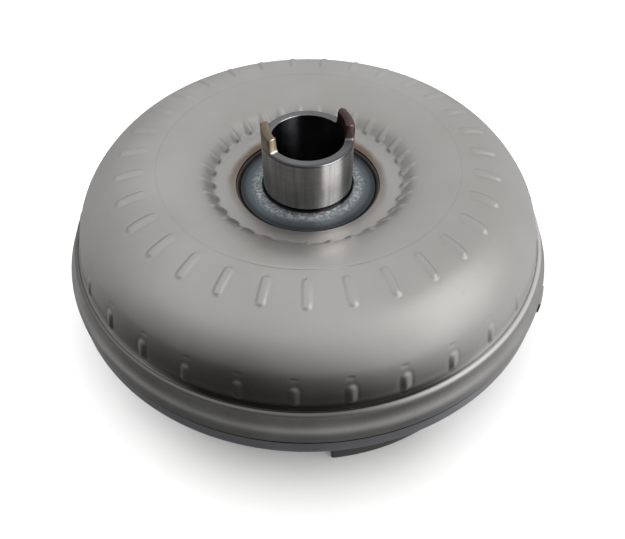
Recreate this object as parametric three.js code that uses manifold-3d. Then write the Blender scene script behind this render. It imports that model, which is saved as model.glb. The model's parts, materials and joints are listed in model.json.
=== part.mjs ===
// Torque converter: a welded steel housing that holds an impeller, a turbine, a stator on a
// one-way clutch, and a lock-up clutch with a spring damper.
// Millimetres. +Z runs along the shaft axis towards the drive hub. The origin is on the axis, in
// the plane of the drive lugs' flat faces. Azimuth 0 points along -Y and grows towards +X.
import * as THREE from 'three';
import { mergeVertices } from 'three/addons/utils/BufferGeometryUtils.js';
import Module from 'manifold-3d';

const wasm = await Module();
wasm.setup();

// ---------------------------------------------------------------- driving dimensions
const RIM_R = 135; // widest radius, at the rim
const GAP = 0.3; // space between pieces that touch on the real object
const VANES = 31; // impeller vanes, and the marks that they leave on the shell
const TURBINE_VANES = 29;
const STATOR_VANES = 13;
const SHELL_T = 3; // impeller shell
const COVER_T = 4; // front cover
const MID_Z = 64; // plane between impeller and turbine
const FACE_Z = 7; // outside of the cover's flat face
const HUB_R = 24; // drive hub sleeve
const BORE_R = 19.1; // drive hub bore
const HUB_TOP = 119.5;
const TANG_TOP = 128;
const TANG_WIDTH = 43; // degrees
const TANG_AZIMUTH = -73.5;
const LUG_AZIMUTHS = [25, 145, 265];
const LUG_WIDTH = 38; // degrees
const BOLT_CIRCLE_R = 105;
const BOLT_HOLE_R = 4.4; // minor radius of an M10 thread
const ROLLERS = 8;
const DAMPER_SPRINGS = 4;
const ROUND_LARGE = 36; // sides of the large round pieces
const ROUND_SMALL = 16; // sides of the small round pieces
const FLANGE_R = 37; // drive hub flange
const FLANGE_UNDER = 82.5;
const SHELL_HOLE_R = 39.9;
const RACE_BOTTOM = 49.6; // stator inner race
const RACE_TOP = 77.2;
const RACE_R = 27;
const CAM_R = 40.5;
const TURBINE_CENTRE = [84, MID_Z - 1.7];
const CORE_CENTRE_R = 83;
const TURBINE_FLANGE_Z = 39.6; // underside of the turbine shell's inner flange
const PISTON_Z = 14.8; // underside of the lock-up piston
const PISTON_T = 2.5;
const SPRING_CENTRE = [105.2, 25.1]; // middle of the damper springs' coils

// ---------------------------------------------------------------- looks
const finish = (color, roughness, metalness = 1) => ({ color, roughness, metalness });
const SHELL_STEEL = finish(0xa3a29b, 0.42, 0.85);
const COVER_STEEL = finish(0x77757a, 0.4, 0.9);
const TURNED_STEEL = finish(0xc3c4c6, 0.25);
const WELD_STEEL = finish(0x5c554f, 0.6, 0.8);
const SHEET_STEEL = finish(0x9a9a98, 0.4, 0.9);
const BEARING_STEEL = finish(0xb9bcc2, 0.2);
const SPRING_STEEL = finish(0x5f6468, 0.35, 0.9);
const CAST_ALUMINIUM = finish(0xb4b6b8, 0.5, 0.8);
const FRICTION_PAPER = finish(0x6b5238, 0.95, 0);
const SEAL_PLASTIC = finish(0x2a2420, 0.6, 0);

const converter = new THREE.Group();

function addPiece(name, geometry, look) {
  const mesh = new THREE.Mesh(geometry, new THREE.MeshStandardMaterial(look));
  mesh.name = name;
  converter.add(mesh);
}

// ---------------------------------------------------------------- geometry helpers
const rad = THREE.MathUtils.degToRad;

// A closed [r, z] outline turned about Z.
function turned(outline, sides = ROUND_SMALL) {
  const loop = outline.map(([r, z]) => new THREE.Vector2(r, z));
  if (THREE.ShapeUtils.area(loop) < 0) loop.reverse();
  loop.push(loop[0].clone());
  return new THREE.LatheGeometry(loop, sides).rotateX(Math.PI / 2);
}

// A plain flat ring.
function washer(innerR, outerR, bottom, top, sides = ROUND_SMALL) {
  return turned([[innerR, bottom], [outerR, bottom], [outerR, top], [innerR, top]], sides);
}

// Points on an ellipse round [r, z], from one angle to another, in degrees.
function arc([r, z], radiusR, radiusZ, from, to, steps) {
  return Array.from({ length: steps + 1 }, (_, i) => {
    const angle = rad(from + ((to - from) * i) / steps);
    return [r + radiusR * Math.cos(angle), z + radiusZ * Math.sin(angle)];
  });
}

function shapeOf(points) {
  return new THREE.Shape(points.map(([x, y]) => new THREE.Vector2(x, y)));
}

// A flat outline in the XY plane, given height along Z.
function prism(shape, bottom, top) {
  const options = { depth: top - bottom, bevelEnabled: false, steps: 1 };
  return new THREE.ExtrudeGeometry(shape, options).translate(0, 0, bottom);
}

function circlePoints(radius, sides) {
  return Array.from({ length: sides }, (_, i) => {
    const angle = (2 * Math.PI * i) / sides;
    return [radius * Math.cos(angle), radius * Math.sin(angle)];
  });
}

function onAzimuth(azimuth, radius) {
  return [radius * Math.sin(rad(azimuth)), -radius * Math.cos(rad(azimuth))];
}

function toSolid(geometry) {
  const bare = geometry.clone();
  bare.deleteAttribute('normal');
  bare.deleteAttribute('uv');
  const merged = mergeVertices(bare, 1e-4);
  return new wasm.Manifold(new wasm.Mesh({
    numProp: 3,
    vertProperties: merged.attributes.position.array,
    triVerts: Uint32Array.from(merged.index.array),
  }));
}

function toGeometry(solid) {
  const { vertProperties, triVerts } = solid.getMesh();
  const geometry = new THREE.BufferGeometry();
  geometry.setAttribute('position', new THREE.BufferAttribute(vertProperties, 3));
  geometry.setIndex(new THREE.BufferAttribute(triVerts, 1));
  return geometry;
}

const joined = (geometries) => toGeometry(geometries.map(toSolid).reduce((a, b) => a.add(b)));

function cut(geometry, cutters) {
  return toGeometry(cutters.map(toSolid).reduce((a, b) => a.subtract(b), toSolid(geometry)));
}

// The part of a turned outline between two azimuths.
function turnedSector(outline, middle, width, sides = ROUND_LARGE) {
  const reach = 2 * RIM_R;
  const heights = outline.map(([, z]) => z);
  const corners = [-0.5, 0, 0.5].map((part) => onAzimuth(middle + part * width, reach));
  const wedge = prism(shapeOf([[0, 0], ...corners]), Math.min(...heights) - 1, Math.max(...heights) + 1);
  return toGeometry(toSolid(turned(outline, sides)).intersect(toSolid(wedge)));
}

// A sleeve with square-shouldered splines in its bore.
function splinedSleeve(outerR, rootR, tipR, teeth, bottom, top) {
  const shape = shapeOf(circlePoints(outerR, ROUND_LARGE));
  const bore = [];
  for (let tooth = 0; tooth < teeth; tooth += 1) {
    for (const [part, radius] of [[0, rootR], [0.5, rootR], [0.55, tipR], [0.95, tipR]]) {
      bore.push(onAzimuth((360 * (tooth + part)) / teeth, radius));
    }
  }
  shape.holes.push(new THREE.Path(bore.map(([x, y]) => new THREE.Vector2(x, y))));
  return prism(shape, bottom, top);
}

// A thin plate in the plane of the axis, bent round it by bend(r, z) degrees, at an azimuth.
function vane(outline, thickness, bend, azimuth) {
  const plate = prism(shapeOf(outline), -thickness / 2, thickness / 2).rotateX(Math.PI / 2);
  const position = plate.attributes.position;
  for (let i = 0; i < position.count; i += 1) {
    const r = position.getX(i);
    const side = position.getY(i);
    const angle = rad(bend(r, position.getZ(i)));
    position.setX(i, r * Math.cos(angle) - side * Math.sin(angle));
    position.setY(i, r * Math.sin(angle) + side * Math.cos(angle));
  }
  return plate.rotateZ(rad(azimuth - 90));
}

// ---------------------------------------------------------------- impeller shell
// Each row is a point of the shell's outside, from the hub hole to the skirt. lift raises a mark at
// each vane above the row, half is half of the mark's width in mm, and phase turns it, in degrees.
const SKIRT_R = 126.6;
const SKIRT_BOTTOM = 54;
const TAB_PHASE = -2.6;
const shellRows = [
  { r: SHELL_HOLE_R, z: 90, half: 2.7 },
  { r: 49.3, z: 93.2, half: 2.9 },
  { r: 51.2, z: 94.6, half: 3, lift: 1.1 },
  { r: 55.6, z: 97.8, half: 3, lift: 1.1 },
  { r: 57.4, z: 98.9, half: 3 },
  { r: 69, z: 104.4, half: 2.6 },
  { r: 85.5, z: 107.3, half: 2.6 },
  { r: 88, z: 107, half: 2.6, lift: 0.8 },
  { r: 97.3, z: 104.5, half: 2.6, lift: 1.3 },
  { r: 99.8, z: 103.3, half: 2.6 },
  { r: 108, z: 97.6, half: 4 },
  { r: 116.3, z: 88.6, half: 4, phase: TAB_PHASE },
  { r: 122, z: 80.7, half: 3.2, phase: TAB_PHASE },
  { r: 123.4, z: 78.6, half: 3.2, lift: 1.2, phase: TAB_PHASE },
  { r: 126, z: 71.4, half: 3.2, lift: 1.2, phase: TAB_PHASE },
  { r: SKIRT_R, z: 69.4, half: 3.2, phase: TAB_PHASE },
  { r: SKIRT_R, z: SKIRT_BOTTOM, half: 8.6 },
];

// The rows that shape the inside of the dome.
const INSIDE_ROWS = [11, 9, 6];

// Some of the outside rows moved inwards, square to the surface.
function shellInside(depth, rows) {
  return rows.map((index) => {
    const before = shellRows[Math.max(index - 1, 0)];
    const after = shellRows[Math.min(index + 1, shellRows.length - 1)];
    const along = new THREE.Vector2(after.r - before.r, after.z - before.z).normalize();
    return [shellRows[index].r + along.y * depth, shellRows[index].z - along.x * depth];
  });
}

function embossedShell() {
  const inside = [[SKIRT_R - SHELL_T, SKIRT_BOTTOM], [SKIRT_R - SHELL_T, 69.4],
    ...shellInside(SHELL_T, [...INSIDE_ROWS, 4]), [SHELL_HOLE_R, 90 - SHELL_T]];
  const rows = [...shellRows, ...inside.map(([r, z]) => ({ r, z, half: (r * Math.PI) / VANES / 1.5 }))];
  rows.reverse();
  const loop = [...rows, rows[0]].map(({ r, z }) => new THREE.Vector2(r, z));
  const shell = new THREE.LatheGeometry(loop, 3 * VANES).rotateX(Math.PI / 2);
  const position = shell.attributes.position;
  for (let i = 0; i < position.count; i += 1) {
    const here = i % loop.length;
    const row = rows[here % rows.length];
    const column = Math.floor(i / loop.length);
    const side = column % 3 === 2 ? -1 : column % 3;
    const azimuth = (360 / VANES) * Math.round(column / 3) + (row.phase ?? 0);
    const lift = side === 0 ? row.lift ?? 0 : 0;
    const before = loop[Math.max(here - 1, 0)];
    const slope = loop[Math.min(here + 1, rows.length)].clone().sub(before).normalize();
    const radius = row.r + slope.y * lift;
    const [x, y] = onAzimuth(azimuth + (side * row.half * 180) / (Math.PI * row.r), radius);
    position.setXYZ(i, x, y, row.z - slope.x * lift);
  }
  return shell;
}
addPiece('impeller_shell', embossedShell(), SHELL_STEEL);

// ---------------------------------------------------------------- drive hub
const hubOutline = [
  [BORE_R, FLANGE_UNDER], [FLANGE_R, FLANGE_UNDER], [FLANGE_R, 88.4], [30, 88.4], [25.4, 89],
  [HUB_R - 0.4, 90.4], [HUB_R, 91.4], [HUB_R, TANG_TOP - 0.6], [HUB_R - 0.6, TANG_TOP],
  [BORE_R, TANG_TOP],
];
// What the sleeve loses between its two driving tangs.
const slotOutline = [[BORE_R - 3, HUB_TOP], [HUB_R + 3, HUB_TOP], [HUB_R + 3, TANG_TOP + 3],
  [BORE_R - 3, TANG_TOP + 3]];
addPiece('impeller_hub', cut(
  turned(hubOutline, ROUND_LARGE),
  [90, 270].map((turn) => turnedSector(slotOutline, TANG_AZIMUTH + turn, 180 - TANG_WIDTH)),
), TURNED_STEEL);
addPiece('hub_weld', turned([
  [FLANGE_R + GAP, 86], [SHELL_HOLE_R - GAP, 86], [SHELL_HOLE_R - GAP, 89.4],
  [FLANGE_R + GAP, 89],
], ROUND_LARGE), WELD_STEEL);

// ---------------------------------------------------------------- front cover and its fittings
const CORNER = [109, FACE_Z + 12];
const RIM_SEAM = 50; // underside of the cover's rim, on top of the rim ring
const RIM_BOTTOM = 39.5;
const WALL_R = 127.3;
const PILOT_HOLE_R = 12.3;
addPiece('front_cover', turned([
  [PILOT_HOLE_R, FACE_Z + 1.5], [45, FACE_Z + 1.5], [50, FACE_Z],
  ...arc(CORNER, 12, 12, -90, 0, 3),
  [WALL_R, 38], [WALL_R, RIM_SEAM], [RIM_R, RIM_SEAM],
  [133.2, 57.8], [130.8, 61.4], [129.6, 66], [SKIRT_R + 0.7, 66],
  [SKIRT_R + 0.7, SKIRT_BOTTOM - GAP], [WALL_R - COVER_T, SKIRT_BOTTOM - GAP], [WALL_R - COVER_T, 38],
  ...arc(CORNER, 12 - COVER_T, 12 - COVER_T, 0, -90, 2),
  [50, FACE_Z + COVER_T], [45, FACE_Z + COVER_T + 1.5], [PILOT_HOLE_R, FACE_Z + COVER_T + 1.5],
], ROUND_LARGE), COVER_STEEL);
addPiece('rim_ring', turned([
  [WALL_R + 0.6, RIM_BOTTOM], [RIM_R - 1, RIM_BOTTOM], [RIM_R, RIM_BOTTOM + 1],
  [RIM_R, RIM_SEAM - 0.5], [WALL_R + 0.6, RIM_SEAM - 0.5],
], ROUND_LARGE), COVER_STEEL);
addPiece('closing_weld', turned([
  [SKIRT_R + 0.7, 66.3], [129.2, 66.3], [SKIRT_R + 0.7, 69.2],
], ROUND_LARGE), WELD_STEEL);

const PILOT_R = 22;
const PILOT_END = 1.5;
const pilotOutline = [[0, PILOT_END + 3], [4, PILOT_END], [PILOT_R - 1.5, PILOT_END],
  [PILOT_R, PILOT_END + 1.5], [PILOT_R, FACE_Z + 1.5 - GAP], [PILOT_HOLE_R - GAP, FACE_Z + 1.5 - GAP],
  [PILOT_HOLE_R - GAP, FACE_Z + COVER_T + 1], [0, FACE_Z + COVER_T + 1]];
addPiece('pilot_boss', new THREE.LatheGeometry(
  pilotOutline.map(([r, z]) => new THREE.Vector2(r, z)), ROUND_SMALL,
).rotateX(Math.PI / 2), TURNED_STEEL);

const LUG_INNER_R = 91;
const LUG_OUTER_R = 119;
const lugOutline = [[LUG_INNER_R, 0], [LUG_OUTER_R, 0],
  ...arc(CORNER, 12.4, 12.4, -37, -90, 3), [LUG_INNER_R, FACE_Z - 0.4]];
const HOLE_SPREAD = 11; // degrees from the middle of a lug to each bolt hole
LUG_AZIMUTHS.forEach((azimuth, index) => {
  const holes = [-HOLE_SPREAD, HOLE_SPREAD].map((offset) => {
    const [x, y] = onAzimuth(azimuth + offset, BOLT_CIRCLE_R);
    return prism(shapeOf(circlePoints(BOLT_HOLE_R, 12)), -1, FACE_Z + 1).translate(x, y, 0);
  });
  addPiece(`drive_lug_${index + 1}`, cut(turnedSector(lugOutline, azimuth, LUG_WIDTH), holes), COVER_STEEL);
});

const WEIGHT_AZIMUTH = 70.3;
const WEIGHT_WIDTH = 6; // degrees
const weightOutline = [[RIM_R + GAP, 40.5], [RIM_R + 1.6, 40.5], [RIM_R + 1.6, 48], [RIM_R + GAP, 48]];
addPiece('balance_weight', turnedSector(weightOutline, WEIGHT_AZIMUTH, WEIGHT_WIDTH), SHEET_STEEL);

// ---------------------------------------------------------------- impeller vanes and core
const CORE_R = 13; // half-width of the core rings, and their depth below
const CORE_DEPTH = 11;
const CORE_T = 1.2;
const VANE_T = 1;

function coreRing(baseZ, depth, sides) {
  const inner = CORE_R - CORE_T;
  const thin = depth - Math.sign(depth) * CORE_T;
  return turned([...arc([CORE_CENTRE_R, baseZ], CORE_R, depth, 0, 180, 3),
    ...arc([CORE_CENTRE_R, baseZ], inner, thin, 180, 0, 3)], sides).rotateZ(Math.PI / sides);
}

const impellerBase = MID_Z + 1.7;
const impellerVane = [
  [122.4, impellerBase + GAP], [122.4, 69], ...shellInside(SHELL_T + 1, INSIDE_ROWS), [57, 93.3], [54, 90],
  ...arc([CORE_CENTRE_R, impellerBase + GAP], CORE_R - 0.6, CORE_DEPTH - 0.6, 120, 0, 2),
];
const impellerVanes = Array.from({ length: VANES }, (_, i) => (
  vane(impellerVane, VANE_T, (r) => 0.12 * (90 - r), (360 * i) / VANES)));
const impellerCore = coreRing(impellerBase, CORE_DEPTH, VANES);
addPiece('impeller_vane_ring', joined([impellerCore, ...impellerVanes]), SHEET_STEEL);

// ---------------------------------------------------------------- turbine
const TURBINE_R = 37; // half-width of the turbine bowl, and its depth below
const TURBINE_DEPTH = TURBINE_CENTRE[1] - 27.5;
const TURBINE_T = 1.8;
const FLANGE_ANGLE = -139; // where the bowl runs into its inner flange
addPiece('turbine_shell', turned([
  [30, TURBINE_FLANGE_Z], ...arc(TURBINE_CENTRE, TURBINE_R, TURBINE_DEPTH, FLANGE_ANGLE, 0, 5),
  ...arc(TURBINE_CENTRE, TURBINE_R - TURBINE_T, TURBINE_DEPTH - TURBINE_T, 0, FLANGE_ANGLE, 5),
  [30, TURBINE_FLANGE_Z + TURBINE_T],
], ROUND_LARGE), SHEET_STEEL);
const TURBINE_BASE = [TURBINE_CENTRE[0], TURBINE_CENTRE[1] - GAP];
const turbineVane = [
  ...arc(TURBINE_BASE, TURBINE_R - 3.4, TURBINE_DEPTH - 3.4, -133, 0, 4),
  ...arc([CORE_CENTRE_R, TURBINE_BASE[1]], CORE_R - 0.6, 0.6 - CORE_DEPTH, 0, 120, 2),
];
const turbineBend = (r, z) => 0.2 * (r - 84) - 0.004 * (r - 84) ** 2 - 0.1 * (z - 45);
const turbineVanes = Array.from({ length: TURBINE_VANES }, (_, i) => (
  vane(turbineVane, VANE_T, turbineBend, (360 * i) / TURBINE_VANES)));
const turbineCore = coreRing(TURBINE_CENTRE[1], -CORE_DEPTH, TURBINE_VANES);
addPiece('turbine_vane_ring', joined([turbineCore, ...turbineVanes]), SHEET_STEEL);

const TURBINE_HUB_R = 17.5;
const HUB_BOTTOM = 15.4;
const BOSS_TOP = 43.3;
const SEAL_Z = 20;
const hubSleeve = splinedSleeve(TURBINE_HUB_R, 12.4, 11.2, 16, HUB_BOTTOM, BOSS_TOP);
const hubFlange = turned([
  [TURBINE_HUB_R - 1, 35.8], [47, 35.8], [47, TURBINE_FLANGE_Z - GAP], [28, TURBINE_FLANGE_Z - GAP],
  [28, BOSS_TOP], [TURBINE_HUB_R - 1, BOSS_TOP],
], ROUND_SMALL);
addPiece('turbine_hub', cut(joined([hubSleeve, hubFlange]), [
  washer(TURBINE_HUB_R - 2, TURBINE_HUB_R + 1, SEAL_Z, SEAL_Z + 2.6),
]), TURNED_STEEL);
const pistonSeal = washer(TURBINE_HUB_R - 1.6, TURBINE_HUB_R + 0.3, SEAL_Z + 0.2, SEAL_Z + 2.4);
addPiece('piston_seal', pistonSeal, SEAL_PLASTIC);
addPiece('cover_thrust_washer', washer(12.6, 17, 12.9, 15.1), SEAL_PLASTIC);

// ---------------------------------------------------------------- lock-up clutch and damper
const TRAVEL_FLANGE = [79, 84.2]; // where the piston's driving tabs slide in the retainer
const quarter = (offset) => Array.from(
  { length: DAMPER_SPRINGS },
  (_, i) => (360 * i) / DAMPER_SPRINGS + offset,
);
const pistonTop = PISTON_Z + PISTON_T;
const pistonTab = [[80.6, pistonTop - 0.5], [83.4, pistonTop - 0.5], [83.4, 21.5], [80.6, 21.5]];
addPiece('lockup_piston', joined([
  turned([[TURBINE_HUB_R + 0.7, PISTON_Z], [112.5, PISTON_Z], [112.5, pistonTop], [23, pistonTop],
    [21, 24.5], [TURBINE_HUB_R + 0.7, 24.5]], ROUND_LARGE),
  ...quarter(0).map((azimuth) => turnedSector(pistonTab, azimuth, 10)),
]), SHEET_STEEL);
addPiece('lockup_lining', washer(90, 108, PISTON_Z - 1.8, PISTON_Z - GAP, ROUND_LARGE), FRICTION_PAPER);

const channelFloor = pistonTop + 0.4;
const SHEET = 1.6;
const retainerOutline = [[TRAVEL_FLANGE[0], channelFloor], [112.8, channelFloor], [112.8, 29.5],
  [112.8 - SHEET, 29.5], [112.8 - SHEET, channelFloor + SHEET], [TRAVEL_FLANGE[0], channelFloor + SHEET]];
const stopOutline = [[107, channelFloor + 1], [112, channelFloor + 1], [112, 28.5], [107, 28.5]];
const notchOutline = [[TRAVEL_FLANGE[0] - 1, 17], [TRAVEL_FLANGE[1], 17], [TRAVEL_FLANGE[1], 20],
  [TRAVEL_FLANGE[0] - 1, 20]];
const SPRING_ARC = 64; // degrees that each damper spring spans
addPiece('damper_retainer', cut(
  joined([turned(retainerOutline, ROUND_LARGE),
    ...quarter(45).map((azimuth) => turnedSector(stopOutline, azimuth, 84 - SPRING_ARC))]),
  quarter(0).map((azimuth) => turnedSector(notchOutline, azimuth, 11.6)),
), SHEET_STEEL);

// A coil whose centre line follows the retainer's channel.
class ArcCoil extends THREE.Curve {
  constructor(azimuth, coilR, turns) {
    super();
    Object.assign(this, { azimuth, coilR, turns });
  }

  getPoint(t, target = new THREE.Vector3()) {
    const turn = 2 * Math.PI * this.turns * t;
    const radius = SPRING_CENTRE[0] + this.coilR * Math.cos(turn);
    const [x, y] = onAzimuth(this.azimuth + SPRING_ARC * (t - 0.5), radius);
    return target.set(x, y, SPRING_CENTRE[1] + this.coilR * Math.sin(turn));
  }
}
const WIRE = 2.2;
const COIL_TURNS = 5;
const wireShape = shapeOf(
  [[-1, -1], [1, -1], [1, 1], [-1, 1]].map(([x, y]) => [(x * WIRE) / 2, (y * WIRE) / 2]),
);
quarter(0).forEach((azimuth, index) => {
  const extrudePath = new ArcCoil(azimuth, 3.9, COIL_TURNS);
  const options = { extrudePath, steps: 6 * COIL_TURNS, bevelEnabled: false };
  const coil = new THREE.ExtrudeGeometry(wireShape, options);
  addPiece(`damper_spring_${index + 1}`, coil, SPRING_STEEL);
});

const drivenOutline = [[98.5, 28], [107.5, 33], [107.5, 34.8], [98.5, 29.8]];
const drivenTab = [[100.5, 21], [106.2, 21], [106.2, 33], [100.5, 30]];
addPiece('damper_driven_plate', joined([turned(drivenOutline, ROUND_LARGE),
  ...quarter(45).map((azimuth) => turnedSector(drivenTab, azimuth, 5)),
]), SHEET_STEEL);

// ---------------------------------------------------------------- stator and its one-way clutch
const STATOR_BOTTOM = 50;
const STATOR_TOP = 76.8;
const STATOR_BORE_R = CAM_R + 0.4;
const GROOVE_R = 42.3;
const statorHub = turned([
  [28.5, STATOR_BOTTOM], [45, STATOR_BOTTOM], [45, STATOR_TOP], [STATOR_BORE_R, STATOR_TOP],
  [STATOR_BORE_R, 76.2], [GROOVE_R, 76.2], [GROOVE_R, 74.7],
  [STATOR_BORE_R, 74.7], [STATOR_BORE_R, 52.5], [28.5, 52.5],
], 2 * STATOR_VANES);
const STATOR_RIM_R = 66;
const statorRim = washer(STATOR_RIM_R, 68.3, 56, 75, 2 * STATOR_VANES);
const chord = [0, 0.15, 0.5, 1];
const bladeSide = (sign) => chord.map((t) => {
  const half = 0.4 + 5 * Math.sqrt(t) * (1 - t) ** 2;
  return [-9 * t * t + sign * half, 54.5 + 20 * t];
});
const blade = shapeOf([...bladeSide(1), ...bladeSide(-1).reverse()]);
const statorBlades = Array.from({ length: STATOR_VANES }, (_, i) => (
  prism(blade, 44.6, STATOR_RIM_R + 1).rotateX(Math.PI / 2).rotateZ((2 * Math.PI * i) / STATOR_VANES)));
addPiece('stator_wheel', joined([statorHub, statorRim, ...statorBlades]), CAST_ALUMINIUM);

const CLUTCH_BOTTOM = 54.4;
const CLUTCH_TOP = 72.8;
const ROLLER_R = 3.9;
const ROLLER_CENTRE_R = RACE_R + GAP + ROLLER_R;
const POCKET = 360 / ROLLERS;
const camShape = shapeOf(circlePoints(CAM_R, ROUND_LARGE));
const camBore = [];
for (let pocket = 0; pocket < ROLLERS; pocket += 1) {
  // Each pocket rises along a ramp and ends at a land that runs close to the inner race.
  for (const [turn, radius] of [[-17, 34.9], [-8, 35.7], [0, 36.1], [8, 36.4], [17, 36.4],
    [17, 27.8], [22.5, 27.8], [28, 27.8]]) {
    camBore.push(onAzimuth(pocket * POCKET + turn, radius));
  }
}
camShape.holes.push(new THREE.Path(camBore.map(([x, y]) => new THREE.Vector2(x, y))));
addPiece('stator_cam_ring', prism(camShape, CLUTCH_BOTTOM, CLUTCH_TOP), BEARING_STEEL);
addPiece('stator_inner_race', splinedSleeve(RACE_R, 16.6, 15.2, 18, RACE_BOTTOM, RACE_TOP), BEARING_STEEL);

const foldedSpring = shapeOf([
  [0, 0], [0.5, 0], [1.6, 4.6], [2.7, 0.4], [3.3, 0.4], [4.4, 4.6], [5.5, 0], [6, 0],
  [4.7, 5.6], [4.1, 5.6], [3, 1.6], [1.9, 5.6], [1.3, 5.6],
]);
for (let pocket = 0; pocket < ROLLERS; pocket += 1) {
  const azimuth = pocket * POCKET;
  const [x, y] = onAzimuth(azimuth - 7, ROLLER_CENTRE_R);
  const roller = new THREE.CylinderGeometry(ROLLER_R, ROLLER_R, CLUTCH_TOP - CLUTCH_BOTTOM - 1, 8);
  roller.rotateX(Math.PI / 2).rotateZ(Math.PI / 8 + rad(azimuth - 7));
  roller.translate(x, y, (CLUTCH_TOP + CLUTCH_BOTTOM) / 2);
  addPiece(`clutch_roller_${pocket + 1}`, roller, BEARING_STEEL);
  const spring = prism(foldedSpring, CLUTCH_BOTTOM + 4, CLUTCH_TOP - 4).translate(-3, -34.2, 0);
  addPiece(`clutch_spring_${pocket + 1}`, spring.rotateZ(rad(azimuth + 9.6)), SPRING_STEEL);
}
addPiece('clutch_end_plate_lower', washer(28.6, CAM_R - 0.5, 52.8, 54.1), SHEET_STEEL);
addPiece('clutch_end_plate_upper', washer(28.6, CAM_R - 0.5, 73.1, 74.4), SHEET_STEEL);
const snapGap = [[36, 74], [GROOVE_R + 1, 74], [GROOVE_R + 1, 77], [36, 77]];
addPiece('stator_snap_ring', cut(
  washer(37.5, GROOVE_R - 0.5, 74.9, 76),
  [turnedSector(snapGap, 0, 12)],
), SPRING_STEEL);

// ---------------------------------------------------------------- thrust bearings
const BEARING = [20, 31];
const NEEDLES = 6;

function needleCage(bottom) {
  const plate = washer(BEARING[0] + 0.8, BEARING[1] - 0.8, bottom + 0.5, bottom + 1.7, 2 * NEEDLES);
  const needles = Array.from({ length: NEEDLES }, (_, i) => (
    new THREE.CylinderGeometry(1.15, 1.15, 7, 6)
      .translate(0, -(BEARING[0] + BEARING[1]) / 2, bottom + 1.1)
      .rotateZ((2 * Math.PI * i) / NEEDLES)));
  return joined([plate, ...needles]);
}
addPiece('hub_bearing_upper_race', washer(...BEARING, 81.4, 82.2), BEARING_STEEL);
addPiece('hub_bearing_cage', needleCage(78.8), BEARING_STEEL);
addPiece('hub_bearing_lower_race', washer(...BEARING, 77.6, 78.4), BEARING_STEEL);
addPiece('turbine_bearing_upper_race', washer(...BEARING, 48.4, 49.2), BEARING_STEEL);
addPiece('turbine_bearing_cage', needleCage(45.4), BEARING_STEEL);
addPiece('turbine_bearing_lower_race', washer(...BEARING, 43.7, 44.5), BEARING_STEEL);

export default converter;
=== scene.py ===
"""The looks of a torque converter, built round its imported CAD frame.

Outlines are [r, z] points in millimetres: r from the shaft axis, z above the drive lugs' faces.
Azimuth 0 points along -Y, towards the camera, and grows towards +X, in degrees.
"""

import json
import math

import bmesh
import bpy
import numpy as np
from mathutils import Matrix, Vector

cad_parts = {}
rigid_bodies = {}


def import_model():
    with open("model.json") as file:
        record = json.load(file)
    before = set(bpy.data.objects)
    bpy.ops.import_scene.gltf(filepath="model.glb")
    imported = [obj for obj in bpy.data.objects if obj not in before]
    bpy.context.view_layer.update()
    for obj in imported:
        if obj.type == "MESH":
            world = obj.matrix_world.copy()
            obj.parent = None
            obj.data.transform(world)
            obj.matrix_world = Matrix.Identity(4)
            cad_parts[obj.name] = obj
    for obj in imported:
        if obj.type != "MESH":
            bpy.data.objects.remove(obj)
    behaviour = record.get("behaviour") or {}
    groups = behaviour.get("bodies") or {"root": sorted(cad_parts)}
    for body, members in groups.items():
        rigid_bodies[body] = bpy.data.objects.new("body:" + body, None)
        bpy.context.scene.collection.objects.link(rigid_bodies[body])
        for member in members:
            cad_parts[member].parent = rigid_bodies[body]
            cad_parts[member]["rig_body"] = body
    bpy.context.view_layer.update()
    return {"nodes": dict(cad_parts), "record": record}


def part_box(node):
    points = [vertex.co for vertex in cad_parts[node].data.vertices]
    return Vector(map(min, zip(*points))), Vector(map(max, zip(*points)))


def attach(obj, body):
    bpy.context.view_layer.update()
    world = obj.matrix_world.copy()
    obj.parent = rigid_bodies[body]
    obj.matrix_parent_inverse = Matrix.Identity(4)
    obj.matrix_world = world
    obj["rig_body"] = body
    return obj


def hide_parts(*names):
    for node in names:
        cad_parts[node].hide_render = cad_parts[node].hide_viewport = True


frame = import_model()

MM = 0.001
VANES = 31  # impeller vanes, and the marks of each kind on the shell
SECTOR = 360 / VANES
FINE = 256  # sides of the large round pieces


def reach(node):
    """Lowest z, highest z and outer radius of a CAD node, in mm."""
    low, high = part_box(node)
    return low.z / MM, high.z / MM, high.x / MM


RIM_BOTTOM, RIM_RING_TOP, RIM_R = reach("rim_ring")
FACE_Z, LIP_TOP, _ = reach("front_cover")
FLANGE_UNDER, TANG_TOP, FLANGE_R = reach("impeller_hub")
PILOT_END, PILOT_TOP, PILOT_R = reach("pilot_boss")
LUG_FACE, *_ = reach("drive_lug_1")
SEAM = RIM_RING_TOP + 0.5
FLANGE_TOP = FLANGE_UNDER + 5.9
HUB_R = 24
BORE_R = 19.1
BORE_MIDDLE = 112  # a height on the bore's wall, below every slot
HUB_TOP = TANG_TOP - 8.5
TANG_AZIMUTHS = (-73.5, 106.5)
TANG_WIDTH = 43
SHELL_HOLE_R = 39.3
SHELL_HOLE_TOP = 90
SHELL_FOOT_R = 127.8
SHELL_T = 3
SKIRT_R = 126.6
SKIRT_BOTTOM = 54
COVER_T = 4
COVER_BEND = (109, FACE_Z + 12)  # centre of the bend at the edge of the cover's face
BEND_R = 12
WALL_R = 127.3
LUG_AZIMUTHS = (25, 145, 265)
LUG_WIDTH = 38
LUG_RADII = (91, 119)
BOLT_CIRCLE_R = 105
HOLE_SPREAD = 11
THREAD_R = 5  # M10


# ---------------- camera, floor and light
def new_object(name, data):
    """An object with this data, put in the scene."""
    thing = bpy.data.objects.new(name, data)
    bpy.context.scene.collection.objects.link(thing)
    return thing


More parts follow.
